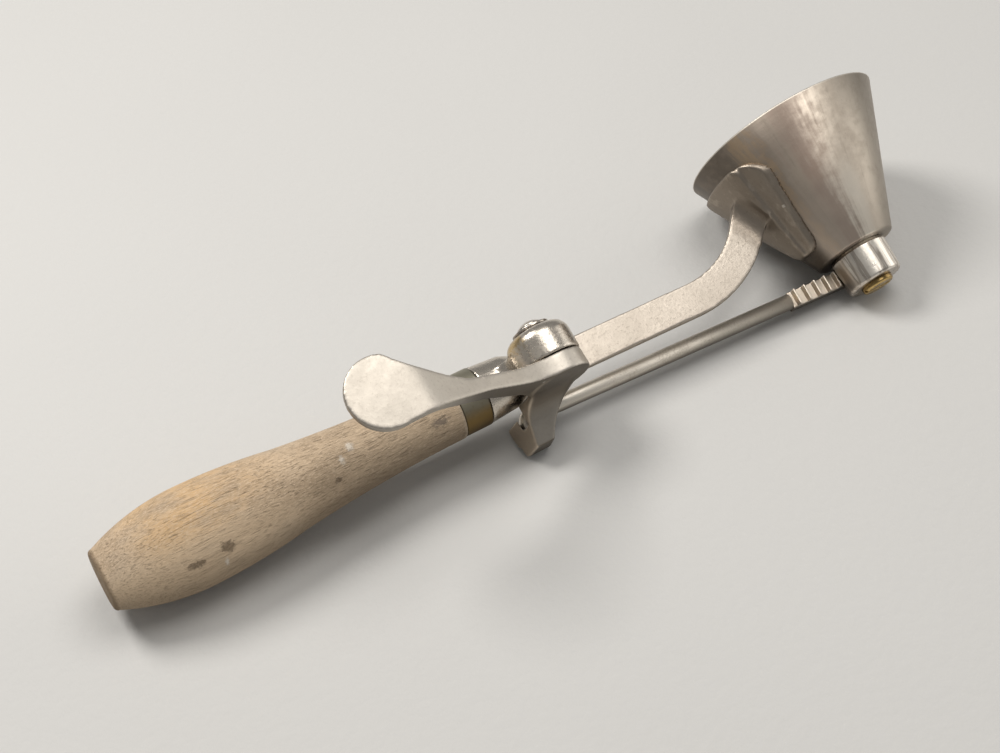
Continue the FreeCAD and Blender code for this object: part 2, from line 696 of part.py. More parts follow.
def make_blade(turn):
    """Scraper blade: a strip of the cone just inside the wall, with a foot on the hub."""
    low = base_y + base_wall + bush_height + blade_gap
    foot_top = low + blade_thickness
    outside = -wall_along_radius - blade_gap / math.cos(bowl_half_angle)
    inside = outside - blade_thickness / math.cos(bowl_half_angle)
    strip = bowl_frustum(low, blade_top_y, outside).cut(bowl_frustum(foot_top, blade_top_y + 1, inside))
    slab = Part.makeBox(mouth_radius, mouth_y - base_y, blade_width, V(bowl_x, base_y, -blade_width / 2))
    blade = strip.common(slab).cut(disc_y(scraper_hub_radius, low - 1, foot_top + 1, bowl_x, 0))
    return blade.rotated(V(bowl_x, 0, 0), Y_AXIS, turn)


def make_nut():
    """Hexagon nut that holds the scraper on the spindle."""
    low = base_y + base_wall + bush_height + scraper_hub_height
    corner = nut_across / math.sqrt(3)
    ring = [V(bowl_x + corner * math.cos(k * math.pi / 3), low, corner * math.sin(k * math.pi / 3))
            for k in range(6)]
    nut = face_of(ring).extrude(V(0, nut_height, 0))
    return nut.cut(disc_y(spindle_radius, low - 1, low + nut_height + 1, bowl_x, 0))


def lay_down(shape):
    """Roll the tool on to the bowl's side line and tip it until the handle's belly touches too."""
    apex_y = base_y - base_radius / bowl_slope
    bowl_drop = -apex_y * math.sin(bowl_half_angle)
    pitch = math.atan((bowl_drop - belly_radius) / (bowl_x - belly_x))
    laid = shape.rotated(V(0, 0, 0), X_AXIS, math.degrees(bowl_half_angle))
    return laid.rotated(V(0, 0, 0), Y_AXIS, -math.degrees(pitch))


nodes = {
    "wooden_handle": make_handle(),
    "ferrule": make_ferrule(),
    "handle_tang": make_tang(),
    "shank_casting": make_shank(),
    "cone_bowl": make_bowl(),
    "spindle_bush": make_bush(),
    "gear_housing": make_housing(),
    "plug_screw": make_plug(),
    "return_spring": make_spring(),
    "thumb_lever": make_lever(),
    "pivot_pin": make_pivot_pin(),
    "cap_washer": make_cap(),
    "pivot_screw": make_screw(),
    "push_rod": make_rod(),
    "rack_bar": make_rack(),
    "pinion": make_pinion(),
    "spindle": make_spindle(),
    "scraper_hub": make_scraper_hub(),
    "scraper_blade_1": make_blade(90),
    "scraper_blade_2": make_blade(270),
    "scraper_nut": make_nut(),
}

os.makedirs("parts", exist_ok=True)
laid = {name: lay_down(shape) for name, shape in nodes.items()}
box = Part.makeCompound(list(laid.values())).optimalBoundingBox(True, False)
to_origin = V(-box.Center.x, -box.Center.y, -box.ZMin)
for name, shape in laid.items():
    shape.translated(to_origin).exportStep("parts/" + name + ".step")
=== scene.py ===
import bmesh
import bpy
from math import pi, radians
from mathutils import Matrix, Vector


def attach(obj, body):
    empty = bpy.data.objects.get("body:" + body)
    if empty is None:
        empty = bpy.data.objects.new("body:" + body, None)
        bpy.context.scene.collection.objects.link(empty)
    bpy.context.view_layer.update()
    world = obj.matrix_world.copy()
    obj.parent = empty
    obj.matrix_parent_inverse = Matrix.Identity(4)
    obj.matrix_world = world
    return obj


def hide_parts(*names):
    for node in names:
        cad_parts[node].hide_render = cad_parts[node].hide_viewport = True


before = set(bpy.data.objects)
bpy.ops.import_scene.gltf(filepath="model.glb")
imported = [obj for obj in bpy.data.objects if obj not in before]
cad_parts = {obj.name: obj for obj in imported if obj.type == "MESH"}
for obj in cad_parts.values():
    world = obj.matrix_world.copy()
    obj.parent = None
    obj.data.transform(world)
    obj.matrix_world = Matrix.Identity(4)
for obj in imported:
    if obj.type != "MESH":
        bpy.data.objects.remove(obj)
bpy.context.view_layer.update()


# The place where the tool lies, on its side with the bowl's rim and the handle's belly on a pale table.
# A large soft lamp hangs above it, a smaller one behind on the left and a wide weak one low on the right;
# the camera looks down across the handle to the bowl.
MM = 0.001
tool_roll = radians(23.786)
tool_pitch = radians(0.4894)
tool_origin = (0.002085, -0.007124, 0.015630)
tool_place = (Matrix.Translation(tool_origin) @ Matrix.Rotation(-tool_pitch, 4, "Y")
              @ Matrix.Rotation(tool_roll, 4, "X"))

lamp_aim = Vector((0.02, 0.0, 0.02))
warm_white = (1.0, 0.97, 0.93)
warmer_white = (1.0, 0.97, 0.92)


def lamp(name, spot, size, power, tint):
    light = bpy.data.lights.new(name, "AREA")
    light.shape = "DISK"
    light.size = size
    light.energy = power
    light.color = tint
    held = bpy.data.objects.new(name, light)
    held.location = spot
    held.rotation_euler = (lamp_aim - Vector(spot)).to_track_quat("-Z", "Y").to_euler()
    bpy.context.scene.collection.objects.link(held)


lamp("soft_lamp", (0.20, 0.00, 0.85), size=0.60, power=2.9, tint=warm_white)
lamp("back_lamp", (-0.30, 0.40, 0.68), size=0.35, power=4.2, tint=warm_white)
lamp("right_lamp", (0.95, -0.16, 0.26), size=0.70, power=1.5, tint=warmer_white)

camera = bpy.data.objects.new("camera", bpy.data.cameras.new("camera"))
camera.data.sensor_width = 36.0
camera.data.lens = 63.1
right = Vector((0.85694916, -0.51312198, -0.04841468))
up = Vector((0.41479434, 0.63086715, 0.65570748))
back = Vector((-0.30591469, -0.58199011, 0.75346116))
eye = (-0.161415, -0.288324, 0.383140)
camera.matrix_world = Matrix.Translation(eye) @ Matrix((right, up, back)).transposed().to_4x4()
bpy.context.scene.collection.objects.link(camera)
bpy.context.scene.camera = camera
bpy.context.scene.view_settings.view_transform = "Standard"

room = bpy.data.worlds.new("room")
room.use_nodes = True
room_light = room.node_tree.nodes["Background"].inputs
room_light["Color"].default_value = (1.0, 0.99, 0.97, 1.0)
room_light["Strength"].default_value = 0.26
bpy.context.scene.world = room


class Level:
    """A value on a surface: arithmetic on it adds Math nodes."""

    def __init__(self, finish, socket):
        self.finish = finish
        self.socket = socket

    def __add__(self, other):
        return self.finish.math("ADD", self, other)

    def __sub__(self, other):
        return self.finish.math("SUBTRACT", self, other)

    def __rsub__(self, other):
        return self.finish.math("SUBTRACT", other, self)

    def __mul__(self, other):
        return self.finish.math("MULTIPLY", self, other)

    __radd__ = __add__
    __rmul__ = __mul__


class Finish:
    """A surface finish: one shader and the nodes that feed it, in the tool's own millimetres."""

    def __init__(self, name, **plain):
        self.material = bpy.data.materials.new(name)
        self.material.use_nodes = True
        self.tree = self.material.node_tree
        self.shader = self.tree.nodes["Principled BSDF"]
        self.set(**plain)
        self.spot = self.node("Mapping", {"vector_type": "TEXTURE"}, {
            "Vector": self.node("TexCoord", {}, {}, "Object"), "Location": tool_place.to_translation(),
            "Rotation": (tool_roll, -tool_pitch, 0), "Scale": (MM, MM, MM)})
        self.x, self.y, self.z = (self.node("SeparateXYZ", {}, {0: self.spot}, axis) for axis in "XYZ")

    def feed(self, node, sockets):
        for key, value in sockets.items():
            if isinstance(value, Level):
                self.tree.links.new(value.socket, node.inputs[key])
            else:
                node.inputs[key].default_value = value

    def node(self, kind, settings, sockets, out=0):
        node = self.tree.nodes.new("ShaderNode" + kind)
        for key, value in settings.items():
            setattr(node, key, value)
        self.feed(node, sockets)
        return Level(self, node.outputs[out])

    def math(self, operation, first, second):
        return self.node("Math", {"operation": operation}, {0: first, 1: second})

    def mix(self, share, first, second):
        return self.node("Mix", {"data_type": "RGBA"}, {0: share, 6: first, 7: second}, 2)

    def step(self, value, low, high):
        """0 below low, 1 above high, smooth between."""
        return self.node("MapRange", {"interpolation_type": "SMOOTHSTEP"},
                         {"Value": value, "From Min": low, "From Max": high})

    def cloud(self, per_mm, detail=3.0, rough=0.55, where=None):
        """Noise with so many patches to the millimetre, given as one number or along X, Y and Z."""
        scale = per_mm if isinstance(per_mm, tuple) else (per_mm, per_mm, per_mm)
        spot = self.node("Mapping", {}, {"Vector": where or self.spot, "Scale": scale})
        return self.node("TexNoise", {}, {"Vector": spot, "Scale": 1.0, "Detail": detail, "Roughness": rough})

    def facing(self, way, low, high):
        """0 to 1 as the surface turns towards a direction of the tool."""
        normal = self.node("TexCoord", {}, {}, "Normal")
        toward = tool_place.to_3x3() @ Vector(way).normalized()
        turned_to = self.node("VectorMath", {"operation": "DOT_PRODUCT"}, {0: normal, 1: toward}, "Value")
        return self.step(turned_to, low, high)

    def mark(self, centre, size, ragged):
        """1 inside a spot of the given half sizes, whose outline is frayed by a ragged noise."""
        away = self.node("VectorMath", {"operation": "SUBTRACT"}, {0: self.spot, 1: centre})
        away = self.node("VectorMath", {"operation": "DIVIDE"}, {0: away, 1: size})
        reach = self.node("VectorMath", {"operation": "LENGTH"}, {0: away}, "Value")
        frayed = reach + (ragged - 0.5) * 3.2
        return 1 - self.step(frayed, 0.2, 1.3)

    def bump(self, height, depth, normal=None):
        """Relief of the given depth, on the plain surface or on top of another normal."""
        sockets = {"Height": height, "Distance": depth}
        if normal:
            sockets["Normal"] = normal
        return self.node("Bump", {}, sockets)

    def soft_edges(self, radius):
        """The normal of the surface with its edges rounded off."""
        return self.node("Bevel", {"samples": 6}, {"Radius": radius})

    def set(self, **links):
        """Feed the shader's sockets, named with _ for each space."""
        self.feed(self.shader, {key.replace("_", " "): value for key, value in links.items()})


paper = Finish("table_paper", Roughness=0.7)
paper_grain = paper.cloud(0.3, 4)
paper_cloud = paper.cloud(0.005, 2)
paper_colour = paper.mix(paper_cloud, (0.61, 0.605, 0.59, 1), (0.66, 0.655, 0.64, 1))
paper.set(Base_Color=paper_colour, Normal=paper.bump(paper_grain, 0.2 * MM))

bm = bmesh.new()
bmesh.ops.create_grid(bm, x_segments=8, y_segments=8, size=2.0)
table_mesh = bpy.data.meshes.new("table_top")
bm.to_mesh(table_mesh)
bm.free()
table_top = bpy.data.objects.new("table_top", table_mesh)
bpy.context.scene.collection.objects.link(table_top)
table_mesh.materials.append(paper.material)


# The handle: one piece of pale hardwood, turned in three sweeping curves with a flat butt.
# It is bare, dry and grey with age, with short dark flecks, dents and dirt at both ends.
def arc_from(bm, last, middle, end, steps):
    """Edges along the circle from a vertex through a middle point to an end point."""
    to_middle = Vector(middle) - last.co
    to_end = Vector(end) - last.co
    axis = to_middle.cross(to_end)
    centre = last.co + (axis.cross(to_middle) * to_end.length_squared
                        + to_end.cross(axis) * to_middle.length_squared) / (2 * axis.length_squared)
    turn = (last.co - centre).angle(Vector(end) - centre)
    swept = bmesh.ops.spin(bm, geom=[last], cent=centre, axis=axis.normalized(), angle=turn, steps=steps)
    return [v for v in swept["geom_last"] if isinstance(v, bmesh.types.BMVert)][0]


def line_from(bm, last, end):
    vert = bm.verts.new(end)
    bm.edges.new((last, vert))
    return vert


def turned(bm, axis, steps):
    """Spin every edge drawn so far into a closed round piece."""
    bmesh.ops.spin(bm, geom=bm.verts[:] + bm.edges[:], cent=(0, 0, 0), axis=axis, angle=2 * pi,
                   steps=steps, use_merge=True)
    bmesh.ops.remove_doubles(bm, verts=bm.verts, dist=1e-4)
    bmesh.ops.recalc_face_normals(bm, faces=bm.faces)


def finished(mesh, name, material, body, node):
    """Make a piece of a mesh, put it on its body and let it stand for a node."""
    mesh.materials.clear()
    mesh.materials.append(material)
    mesh.polygons.foreach_set("use_smooth", [True] * len(mesh.polygons))
    piece = bpy.data.objects.new(name, mesh)
    bpy.context.scene.collection.objects.link(piece)
    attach(piece, body)
    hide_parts(node)
    return piece


def piece_from(bm, name, material, body, node):
    """Lay a mesh drawn in the tool's own millimetres where the tool lies, and finish it."""
    bm.transform(tool_place @ Matrix.Scale(MM, 4))
    mesh = bpy.data.meshes.new(name)
    bm.to_mesh(mesh)
    bm.free()
    finished(mesh, name, material, body, node)


butt_x = -135.5
shoulder_x = -31.2
spigot_x = -22.9
spigot_radius = 7.9
tang_radius = 3.2
tang_end_x = -92.9
bm = bmesh.new()
end = bm.verts.new((butt_x, 0, 0))
end = line_from(bm, end, (butt_x, 4.0, 0))
end = line_from(bm, end, (butt_x, 7.5, 0))
end = arc_from(bm, end, (-135.14, 8.34, 0), (-134.3, 8.7, 0), steps=5)
end = arc_from(bm, end, (-124.0, 12.2, 0), (-108.0, 13.95, 0), steps=26)
end = arc_from(bm, end, (-95.0, 13.35, 0), (-82.0, 11.75, 0), steps=24)
end = arc_from(bm, end, (-55.0, 9.45, 0), (-31.6, 8.80, 0), steps=40)
end = line_from(bm, end, (-31.25, 8.6, 0))
end = line_from(bm, end, (shoulder_x, spigot_radius, 0))
end = line_from(bm, end, (spigot_x, spigot_radius, 0))
end = line_from(bm, end, (spigot_x, tang_radius, 0))
end = line_from(bm, end, (tang_end_x, tang_radius, 0))
line_from(bm, end, (tang_end_x, 0, 0))
turned(bm, axis=(1, 0, 0), steps=128)

wood = Finish("weathered_wood", IOR=1.45, Specular_IOR_Level=0.2)
fibre = wood.cloud((0.12, 2.0, 2.0), 5, 0.68)
fuzz = wood.cloud((0.9, 3.6, 3.6), 5, 0.75)
pores = wood.cloud((0.15, 4.2, 4.2), 4, 0.65)
patches = wood.cloud((0.045, 0.11, 0.11), 5, 0.62)
greying = wood.cloud((0.022, 0.06, 0.06), 4, 0.6)
ragged = wood.cloud((1.1, 1.5, 1.5), 5, 0.7)
belly = wood.step(wood.x, -133, -116) * (1 - wood.step(wood.x, -104, -78))
belly = belly * wood.facing((0, 0.6, 0.8), 0.2, 0.9)
pore_mark = wood.step(pores, 0.54, 0.70)
fibre_mark = wood.step(fibre, 0.50, 0.72)
wood_tone = wood.mix(wood.step(patches, 0.35, 0.65), (0.49, 0.365, 0.245, 1), (0.72, 0.545, 0.37, 1))
wood_tone = wood.mix(wood.step(greying, 0.46, 0.70) * 0.6, wood_tone, (0.55, 0.45, 0.345, 1))
wood_tone = wood.mix(belly * wood.step(patches, 0.34, 0.6) * 0.8, wood_tone, (0.68, 0.445, 0.225, 1))
# Darker and greyer from the belly to the ferrule: partly the wood's greying, partly painted shade beneath the
# thumb pad and arm.
wood_tone = wood.mix(wood.step(wood.x, -98, -45) * 0.5, wood_tone, (0.37, 0.295, 0.215, 1))
wood_tone = wood.mix(fibre_mark * 0.6, wood_tone, (0.27, 0.195, 0.13, 1))
wood_tone = wood.mix(wood.step(fuzz, 0.46, 0.66) * 0.7, wood_tone, (0.78, 0.62, 0.45, 1))
wood_tone = wood.mix(pore_mark * 0.5, wood_tone, (0.22, 0.155, 0.10, 1))
# Painted light: the flank turned to the front, from the butt to the belly, is lightened.
painted_flank_light = wood.facing((0, -0.85, 0.5), 0.5, 0.95) * (1 - wood.step(wood.x, -100, -70))
wood_tone = wood.mix(painted_flank_light * 0.45, wood_tone, (0.95, 0.73, 0.50, 1))
# Painted shade: the side of the handle turned down is darkened.
underside_shade = wood.facing((0, -0.75, -0.65), -0.10, 0.65)
wood_tone = wood.mix(underside_shade * 0.6, wood_tone, (0.15, 0.115, 0.08, 1))

knocks = (wood.mark((-104.0, -8.8, 10.4), (1.7, 1.4, 1.6), ragged)
          + wood.mark((-112.9, -9.2, 9.7), (2.6, 0.9, 1.0), ragged)
          + wood.mark((-70.2, -5.8, 8.8), (0.8, 0.6, 0.8), ragged))
stain = wood.mark((-38.3, -3.7, 7.9), (2.8, 1.4, 1.4), ragged)
scuffs = (wood.mark((-105.6, -11.6, 7.5), (0.7, 1.6, 1.4), ragged)
          + wood.mark((-63.7, 0.9, 9.9), (1.2, 1.5, 1.5), ragged)
          + wood.mark((-67.2, -1.6, 10.0), (0.8, 1.4, 1.5), ragged))
wood_tone = wood.mix(knocks * 0.55, wood_tone, (0.20, 0.125, 0.075, 1))
wood_tone = wood.mix(stain * 0.6, wood_tone, (0.075, 0.07, 0.075, 1))
wood_tone = wood.mix(scuffs * 0.65, wood_tone, (0.86, 0.80, 0.71, 1))
butt_dirt = 1 - wood.step(wood.x + (ragged - 0.5) * 1.2, butt_x + 0.5, butt_x + 1.5)
neck_chips = wood.step(wood.x + (ragged - 0.5) * 2.6, shoulder_x - 1.4, shoulder_x - 0.2)
wood_tone = wood.mix(butt_dirt * 0.6, wood_tone, (0.14, 0.095, 0.055, 1))
wood_tone = wood.mix(neck_chips * 0.5, wood_tone, (0.68, 0.57, 0.44, 1))
wood_height = fibre * 0.4 + fuzz * 0.35 - pore_mark * 0.3 - knocks * 1.3 + scuffs * 0.3 + patches * 0.5
wood.set(Base_Color=wood_tone, Roughness=0.62 + patches * 0.25, Normal=wood.bump(wood_height, 0.46 * MM))
piece_from(bm, "turned_handle", wood.material, "frame", "wooden_handle")


# The ferrule: a short brass tube pressed over the handle's spigot so that the wood can't split.
# Golden where hands rub it, greenish grey and dark in the joint with the casting.
ferrule_radius = 8.6
bm = bmesh.new()
end = bm.verts.new((shoulder_x, spigot_radius, 0))
end = line_from(bm, end, (shoulder_x, 8.35, 0))
end = arc_from(bm, end, (-31.127, 8.527, 0), (-30.95, ferrule_radius, 0), steps=4)
end = line_from(bm, end, (-23.3, ferrule_radius, 0))
end = arc_from(bm, end, (-23.017, 8.483, 0), (spigot_x, 8.2, 0), steps=4)
end = line_from(bm, end, (spigot_x, spigot_radius, 0))
line_from(bm, end, (shoulder_x, spigot_radius, 0))
turned(bm, axis=(1, 0, 0), steps=128)

brass = Finish("ferrule_brass", Metallic=1.0)
rub = brass.cloud((0.09, 0.12, 0.12), 5, 0.6)
scratch = brass.cloud((2.6, 0.26, 0.26), 3, 0.6)
speck = brass.cloud(0.9, 3, 0.5)
golden = 1 - brass.step(brass.y + (rub - 0.5) * 5, -7.6, -3.6)
joint_dirt = (brass.step(brass.x + (speck - 0.5) * 0.5, spigot_x - 0.6, spigot_x - 0.05)
              + 1 - brass.step(brass.x, shoulder_x, shoulder_x + 0.5))
brass_tone = brass.mix(golden, (0.37, 0.345, 0.27, 1), (0.31, 0.215, 0.095, 1))
brass_tone = brass.mix(brass.step(speck, 0.55, 0.75) * 0.25, brass_tone, (0.20, 0.15, 0.08, 1))
# Painted shade: the side of the ferrule turned down is darkened.
underside_shade = brass.facing((0, -0.8, -0.6), -0.5, 0.4)
brass_tone = brass.mix(underside_shade * 0.75, brass_tone, (0.13, 0.085, 0.03, 1))
brass_tone = brass.mix(joint_dirt * 0.85, brass_tone, (0.045, 0.035, 0.02, 1))
brass.set(Base_Color=brass_tone, Roughness=0.3 + rub * 0.2 + speck * 0.1,
          Normal=brass.bump(scratch * 0.5 + speck * 0.4, 0.04 * MM))
piece_from(bm, "brass_ferrule", brass.material, "frame", "ferrule")


# The casting behind the bowl: collar, spring drum, half-round bar and the seat soldered to the cone,
# poured in one piece of brass, filed and nickel plated; the plate is speckled by the mould's sand.
def soft_copy(node, name, material, body, grain, passes):
    """A merged copy of a cast node with its edges rounded off, as the mould leaves them."""
    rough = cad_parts[node].data.copy()
    bm = bmesh.new()
    bm.from_mesh(rough)
    bmesh.ops.remove_doubles(bm, verts=bm.verts, dist=2e-6)
    bm.to_mesh(rough)
    bm.free()
    blank = bpy.data.objects.new(name + "_blank", rough)
    bpy.context.scene.collection.objects.link(blank)
    remesh = blank.modifiers.new("skin", "REMESH")
    remesh.mode = "VOXEL"
    remesh.voxel_size = grain
    remesh.use_smooth_shade = True
    smooth = blank.modifiers.new("fettle", "SMOOTH")
    smooth.factor = 0.5
    smooth.iterations = passes
    skin = bpy.data.meshes.new_from_object(blank.evaluated_get(bpy.context.evaluated_depsgraph_get()))
    bpy.data.objects.remove(blank)
    skin.name = name
    return finished(skin, name, material, body, node)


def nickel(name, bright, dull, way, rough, speckle, low=-0.15, high=0.85, wear_and_light=None, sand=0.036,
           rubbed_to=None):
    """Nickel plate, cloudy, with dark pin-pricks, and its light painted in: bright where it turns to a given
    way, dull elsewhere.

    Sand is the height of the mould's grain in millimetres; short of rubbed_to, along X, hands keep it glossy.
    """
    plate = Finish(name, Metallic=1.0)
    cloud = plate.cloud(0.06, 6, 0.62)
    mottle = plate.cloud(0.5, 5, 0.66)
    grit = plate.cloud(1.2, 4, 0.68)
    tarnish = plate.step(cloud * 0.7 + mottle * 0.3, 0.36, 0.70)
    # Painted light: the bright tone where the plate turns to the given way, the dull tone elsewhere.
    painted_light = plate.facing(way, low, high) * (1 - tarnish * 0.2)
    pits = plate.step(grit, 0.52, 0.72)
    tone = plate.mix(painted_light, dull, bright)
    if wear_and_light:
        tone = wear_and_light(plate, tone, mottle)
    tone = plate.mix(pits * speckle, tone, (0.20, 0.165, 0.13, 1))
    # By pointiness, creases are painted dark as painted shade, and rounded edges painted bright, partly worn
    # and partly a painted highlight.
    ridge = plate.node("NewGeometry", {}, {}, "Pointiness") + (mottle - 0.5) * 0.05
    tone = plate.mix((1 - plate.step(ridge, 0.40, 0.475)) * 0.55, tone, (0.10, 0.085, 0.068, 1))
    tone = plate.mix(plate.step(ridge, 0.525, 0.60) * 0.6, tone, (0.80, 0.74, 0.66, 1))
    height = grit * sand + mottle * 0.009
    gloss = rough + tarnish * 0.05 + mottle * 0.08
    if rubbed_to:
        gloss = gloss - (1 - plate.step(plate.x, rubbed_to, rubbed_to + 8)) * (0.15 - tarnish * 0.05)
    plate.set(Base_Color=tone, Roughness=gloss,
              Normal=plate.bump(height, MM, plate.soft_edges(0.3 * MM)))
    return plate.material


def shank_wear(plate, tone, mottle):
    """Dark streaked seat at the cone, bright rubbed drum, and brass showing through at the drum's back."""
    streaks = plate.cloud((0.5, 0.05, 0.3), 4, 0.6)
    seat = plate.step(plate.x + plate.y * 0.44 + (mottle - 0.5) * 5, 69.5, 76.5)
    tone = plate.mix(seat * 0.8, tone, (0.25, 0.21, 0.17, 1))
    tone = plate.mix(seat * plate.step(streaks, 0.54, 0.74) * 0.6, tone, (0.50, 0.43, 0.35, 1))
    tone = plate.mix((1 - plate.step(plate.x, 2, 10)) * 0.5, tone, (0.80, 0.74, 0.65, 1))
    bare = plate.mark((-12.4, 4.6, 16.0), (3.4, 3.0, 4.8), mottle)
    return plate.mix(bare * 0.85, tone, (0.52, 0.37, 0.16, 1))


# Painted light on the casting: the bright tone on the side turned up as the tool lies, the dull tone
# elsewhere.
cast_plate = nickel("cast_nickel", (0.575, 0.515, 0.445, 1), (0.36, 0.31, 0.255, 1), (0.15, 0.25, 0.95),
                    rough=0.36, speckle=0.42, wear_and_light=shank_wear, sand=0.06, rubbed_to=2)
soft_copy("shank_casting", "cast_shank", cast_plate, "frame", grain=0.38 * MM, passes=4)


# The bowl: a thin cone spun from sheet metal, nickel plated, with a plain rounded rim and a flat floor.
# Fruit acid has left it cloudy, with brown and pink streaks down the wall; its light and shade are painted
# in, lit on top as it lies, shaded towards the handle, on the far side and at the bottom.
bowl_x = 100.6
bush_radius = 4.0
floor_under_y = -11.1
floor_top_y = -9.6
rim_radius = 30.72
rim_y = 30.8
bm = bmesh.new()
end = bm.verts.new((bush_radius, floor_under_y, 0))
end = line_from(bm, end, (11.6, floor_under_y, 0))
end = arc_from(bm, end, (12.1, -10.98, 0), (12.46, -10.6, 0), steps=4)
end = line_from(bm, end, (rim_radius, rim_y, 0))
end = arc_from(bm, end, (30.4, 31.1, 0), (29.7, 30.95, 0), steps=5)
end = line_from(bm, end, (11.9, -9.2, 0))
end = arc_from(bm, end, (11.7, -9.5, 0), (11.3, floor_top_y, 0), steps=4)
end = line_from(bm, end, (bush_radius, floor_top_y, 0))
line_from(bm, end, (bush_radius, floor_under_y, 0))
turned(bm, axis=(0, 1, 0), steps=160)
bm.transform(Matrix.Translation((bowl_x, 0, 0)))

bowl_plate = Finish("bowl_nickel", Metallic=1.0)
# Radians round the cone: 0 at its top as the tool lies, more towards the handle.
around = bowl_plate.math("ARCTAN2", bowl_x - bowl_plate.x, bowl_plate.z)
wall = bowl_plate.node("CombineXYZ", {}, {"X": around * 20, "Y": bowl_plate.y})
cloud = bowl_plate.cloud(0.05, 6, 0.62)
mottle = bowl_plate.cloud(0.30, 5, 0.62)
grit = bowl_plate.cloud(2.2, 3, 0.6)
streaks = bowl_plate.cloud((0.45, 0.03, 1), 5, 0.62, wall)
rings = bowl_plate.cloud((0.05, 1.2, 0.05), 3, 0.6)
tarnish = bowl_plate.step(cloud * 0.5 + mottle * 0.5, 0.42, 0.64)
shifted = around + (streaks - 0.5) * 0.7 + (mottle - 0.5) * 0.35
# Painted light: the top of the cone as it lies gets the bright tone, the rest the shaded tone.
painted_lit_side = 1 - bowl_plate.step(shifted, 0.13, 0.93)
pink = bowl_plate.step(shifted, -0.05, 0.45) * (1 - bowl_plate.step(shifted, 0.43, 0.68))
brown = bowl_plate.step(shifted, 0.75, 0.88) * (1 - bowl_plate.step(shifted, 0.93, 1.08))
bowl_tone = bowl_plate.mix(painted_lit_side, (0.29, 0.245, 0.20, 1), (0.68, 0.605, 0.515, 1))
# Painted shade, deepest on the side towards the handle.
bowl_tone = bowl_plate.mix(bowl_plate.step(around + (cloud - 0.5) * 0.3, 0.75, 1.3) * 0.85, bowl_tone,
                           (0.10, 0.085, 0.07, 1))
bowl_tone = bowl_plate.mix(tarnish * 0.35, bowl_tone, (0.33, 0.27, 0.215, 1))
bowl_tone = bowl_plate.mix(pink * 0.6, bowl_tone, (0.27, 0.18, 0.145, 1))
bowl_tone = bowl_plate.mix(brown * 0.6, bowl_tone, (0.42, 0.31, 0.20, 1))
bowl_tone = bowl_plate.mix(bowl_plate.step(streaks, 0.56, 0.74) * 0.3, bowl_tone, (0.22, 0.175, 0.14, 1))
bowl_tone = bowl_plate.mix(bowl_plate.step(grit, 0.62, 0.76) * 0.3, bowl_tone, (0.14, 0.11, 0.085, 1))
# Painted light and shade by angle round the cone and height up the wall: a lit patch low on the top, a grey
# patch beside it, a shaded band on the top towards the rim, and the side away from the handle shaded.
low_wall = 1 - bowl_plate.step(bowl_plate.y, -2, 15)
lit_foot = low_wall * bowl_plate.step(around, -0.25, 0.0) * (1 - bowl_plate.step(shifted, 0.0, 0.45))
grey_foot = low_wall * bowl_plate.step(shifted, 0.2, 0.5) * (1 - bowl_plate.step(around, 1.0, 1.3))
shaded_lip = (bowl_plate.step(bowl_plate.y, 11, 24) * bowl_plate.step(shifted, -0.1, 0.4)
            * (1 - bowl_plate.step(around, 0.7, 1.0)))
shaded_right = bowl_plate.step(around * -1, 0.1, 0.65) * (1 - bowl_plate.step(around * -1, 1.0, 1.9) * 0.6)
bowl_tone = bowl_plate.mix(lit_foot * 0.8, bowl_tone, (0.95, 0.88, 0.77, 1))
bowl_tone = bowl_plate.mix(grey_foot * 0.5, bowl_tone, (0.56, 0.48, 0.41, 1))
bowl_tone = bowl_plate.mix(shaded_lip * 0.6, bowl_tone, (0.13, 0.108, 0.09, 1))
bowl_tone = bowl_plate.mix(shaded_right * 0.6, bowl_tone, (0.17, 0.15, 0.125, 1))
# Painted shade on the bottom of the cone as it lies.
shaded_underside = bowl_plate.step(around * around, 5.0, 9.0)
bowl_tone = bowl_plate.mix(shaded_underside, bowl_tone, (0.30, 0.255, 0.21, 1))
bright_rim = bowl_plate.step(bowl_plate.y, rim_y - 0.3, rim_y)
bowl_tone = bowl_plate.mix(bright_rim * 0.8, bowl_tone, (0.78, 0.73, 0.65, 1))
bowl_plate.set(Base_Color=bowl_tone, Roughness=0.42 + tarnish * 0.08 + streaks * 0.08,
               Normal=bowl_plate.bump(rings * 0.4 + mottle * 0.35 + grit * 0.25, 0.04 * MM))
piece_from(bm, "spun_bowl", bowl_plate.material, "frame", "cone_bowl")


# The bearing at the small end: a brass bush in the bowl's floor, a drum-shaped gear housing, cast and
# plated bright, and the slotted brass plug that closes it.
def dress(node, material):
    """Give a node that keeps its own shape its finish."""
    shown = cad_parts[node].data
    shown.materials.clear()
    shown.materials.append(material)


plug_face_y = -23.75


def yellow_brass(name, tone, dirt, rough):
    """Turned brass: lathe lines, brown tarnish in patches and everywhere behind the plug's face."""
    turned_brass = Finish(name, Metallic=1.0)
    cloud = turned_brass.cloud(0.16, 5, 0.6)
    lines = turned_brass.cloud((0.4, 2.8, 0.4), 3, 0.6)
    grit = turned_brass.cloud(1.5, 2, 0.5)
    dull = turned_brass.step(cloud, 0.40, 0.66)
    colour = turned_brass.mix(dull * 0.6, tone, dirt)
    behind = turned_brass.step(turned_brass.y, plug_face_y, plug_face_y + 0.45)
    colour = turned_brass.mix(behind * 0.7, colour, dirt)
    colour = turned_brass.mix(turned_brass.step(grit, 0.60, 0.74) * 0.4, colour, (0.08, 0.06, 0.03, 1))
    turned_brass.set(Base_Color=colour, Roughness=rough + dull * 0.2, Normal=turned_brass.bump(
        lines * 0.5 + grit * 0.5, 0.04 * MM, turned_brass.soft_edges(0.2 * MM)))
    return turned_brass.material


